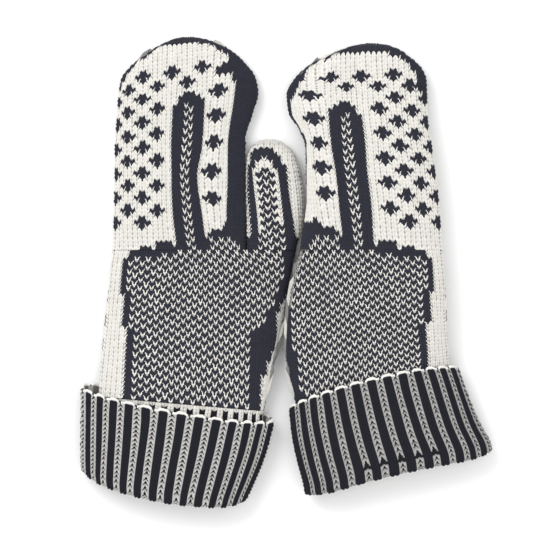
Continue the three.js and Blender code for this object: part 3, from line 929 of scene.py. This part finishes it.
left_cuff = {**both_cuffs,
             "thumb_x": [16, 13, 11.7, 11, 7.2, 3.9, 2.2],
             "thumb_y": [-130, -135.6, -136, -131, -115, -98, -82],
             "pinky_x": [119, 121.5, 123, 122.4, 115.4, 109.4, 103.4],
             "pinky_y": [-105, -109.8, -110.2, -106, -91, -75, -58],
             "bow": [3, 3, 3, 3, 3.5, 3.5, 3.5], "sag": [0, 0, 0, 0, -1, -2, -2.5]}
CUFF_RELIEF = 0.8 * mm
CUFF_RIBBING = 0.9 * mm  # how far the dark ribs stand out past the light ones
# Painted shade: the light ribs' white yarn greyed for the shade in the hollows between the dark ribs, the
# left cuff's darker still for the dimmer light on it; CUFF_SHADE is a deeper shade of each, mixed in at
# random
SHADED_CUFF_WHITE = {"right": (0.58, 0.57, 0.545, 1), "left": (0.45, 0.445, 0.43, 1)}
CUFF_SHADE = {"right": (0.38, 0.375, 0.365, 1), "left": (0.29, 0.285, 0.28, 1)}
LIP_SHADOW_STEPS = (21, 24)  # grid steps between which the left cuff has a painted shadow in the crease above its folded lip
LIP_SHADOW_WALES = (7, 18)  # wales between which it runs


def between(values, low, high):
    """True where low <= value < high."""
    return (values >= low) & (values < high)


def cuff_chart(folded_lip):
    """Dark faces of a cuff, given for each grid step: every second wale, a notch that makes a chevron of
    each light stitch, and a painted shadow in the crease above a folded lip."""
    r, c = np.arange(CUFF_ROWS * ALONG)[:, None], np.arange(CUFF_FRONT * 2 * ACROSS)[None, :]
    up, across, wale = r % ALONG, c % ACROSS, c // ACROSS
    notch = ((up == 0) & between(across, 1, 5)) | ((up == 1) & between(across, 2, 4))
    # Painted shadow in the crease above the left cuff's folded lip.
    crease_shade = between(r, *LIP_SHADOW_STEPS) & between(wale, *LIP_SHADOW_WALES) & folded_lip
    return ((wale % 2 == 1) | notch | crease_shade).astype(float)


cuff_surface = {}
for hand, shape, uneven in (("right", right_cuff, 0.02), ("left", left_cuff, 0.06)):
    cuff_surface[hand] = rib_tube(shape, CUFF_ROWS, CUFF_FRONT, uneven)
    piece = knit_piece(f"{hand}_turned_cuff", cuff_surface[hand], cuff_chart(hand == "left"), FACING[hand],
                       relief=CUFF_RELIEF, seed=51, hang=-1, ribbing=CUFF_RIBBING)
    cuff_wool = wool_material(f"{hand}_cuff_wool", 0.9, SHADED_CUFF_WHITE[hand], CUFF_SHADE[hand], RIB_BLACK,
                              RIB_BLACK_LIT)
    piece.data.materials.append(cuff_wool)
    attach(piece, f"{hand}_hand")
    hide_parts(f"{hand}_turned_cuff_palm", f"{hand}_turned_cuff_back")

# --------------------------------------
# Cast-on rows
# The row that each mitten was begun with, now its cuff's free upper edge: a
# round strand of light yarn, arched over every dark rib and knitted into it.
STRAND_SIDES = 8
STRAND_RADIUS = 1.0 * mm
STRAND_PLY = 0.14  # how far its two plies swell it, as a share of its radius
STRAND_TWIST = 5.5  # how far the plies turn in one stitch, in radians
STRAND_ARCH = 1.1 * mm  # how far it rises over a dark rib
STRAND_SINK = 0.3 * mm  # how far it lies in the fabric's edge between two of them
STRAND_INSET = 0.2 * mm
TICK_START, TICK_WIDTH = 0.15, 0.32  # the dark tick between two arches, in stitches
# The cast-on yarn and its shaded copy, mixed in random patches as uneven dye and painted shade
CAST_ON_WHITE = (0.84, 0.83, 0.79, 1)
CAST_ON_SHADE = (0.74, 0.72, 0.68, 1)


def cast_on_rings(surface, facing, place):
    """Rings of points round the last ring of a tube. Each point lies at radius * (cos outwards, sin
    upwards) from a middle line that rises over the dark ribs, with radius = STRAND_RADIUS *
    (1 + STRAND_PLY * sin(2 * angle + STRAND_TWIST * place)). place counts stitches round the edge."""
    line = surface[-1]
    around = unit(np.roll(line, -1, axis=0) - np.roll(line, 1, axis=0))
    up = unit(surface[-1] - surface[-2 * ALONG])
    out = facing * unit(np.cross(around, up))
    over_dark = np.clip(0.5 + 2.5 * np.sin(math.pi * (place - 1)), 0, 1)
    centre = line + up * (over_dark * STRAND_ARCH - STRAND_SINK)[:, None] - out * STRAND_INSET
    angle = np.arange(STRAND_SIDES) / STRAND_SIDES * 2 * math.pi
    radius = STRAND_RADIUS * (1 + STRAND_PLY * np.sin(2 * angle + place[:, None] * STRAND_TWIST))
    points = (centre[:, None] + out[:, None] * (np.cos(angle) * radius)[..., None]
              + up[:, None] * (np.sin(angle) * radius)[..., None])
    points[..., 2] = np.maximum(points[..., 2], TABLE)
    return points


cast_on_wool = wool_material("cast_on_wool", 0.0, CAST_ON_WHITE, CAST_ON_SHADE)
for hand in ("right", "left"):
    count = cuff_surface[hand].shape[1]
    place = np.arange(count) / ACROSS
    points = cast_on_rings(cuff_surface[hand], FACING[hand], place)
    numbers = np.arange(count * STRAND_SIDES).reshape(count, STRAND_SIDES)
    quads = ring_quads(numbers, np.roll(numbers, -1, axis=0))
    piece = mesh_piece(f"{hand}_cast_on_row", points.reshape(-1, 3), quads[:, ::-FACING[hand]])
    tick = ((place - TICK_START) % 2 < TICK_WIDTH).astype(float)
    yarn = piece.data.attributes.new("yarn_dark", "FLOAT", "FACE")
    yarn.data.foreach_set("value", np.repeat(tick, STRAND_SIDES))
    piece.data.attributes.new("gap", "FLOAT", "POINT")
    corner = np.array([[0, 0], [0, 1], [1, 1], [1, 0]])
    face_place = np.stack(np.divmod(np.arange(len(quads)), STRAND_SIDES), axis=-1)[:, None]
    uv = (face_place + corner) / (count, STRAND_SIDES)
    for layer in ("stitch", "OFBake"):
        piece.data.uv_layers.new(name=layer).data.foreach_set("uv", uv.ravel())
    piece.data.materials.append(cast_on_wool)
    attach(piece, f"{hand}_hand")
    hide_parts(f"{hand}_cast_on_edge")
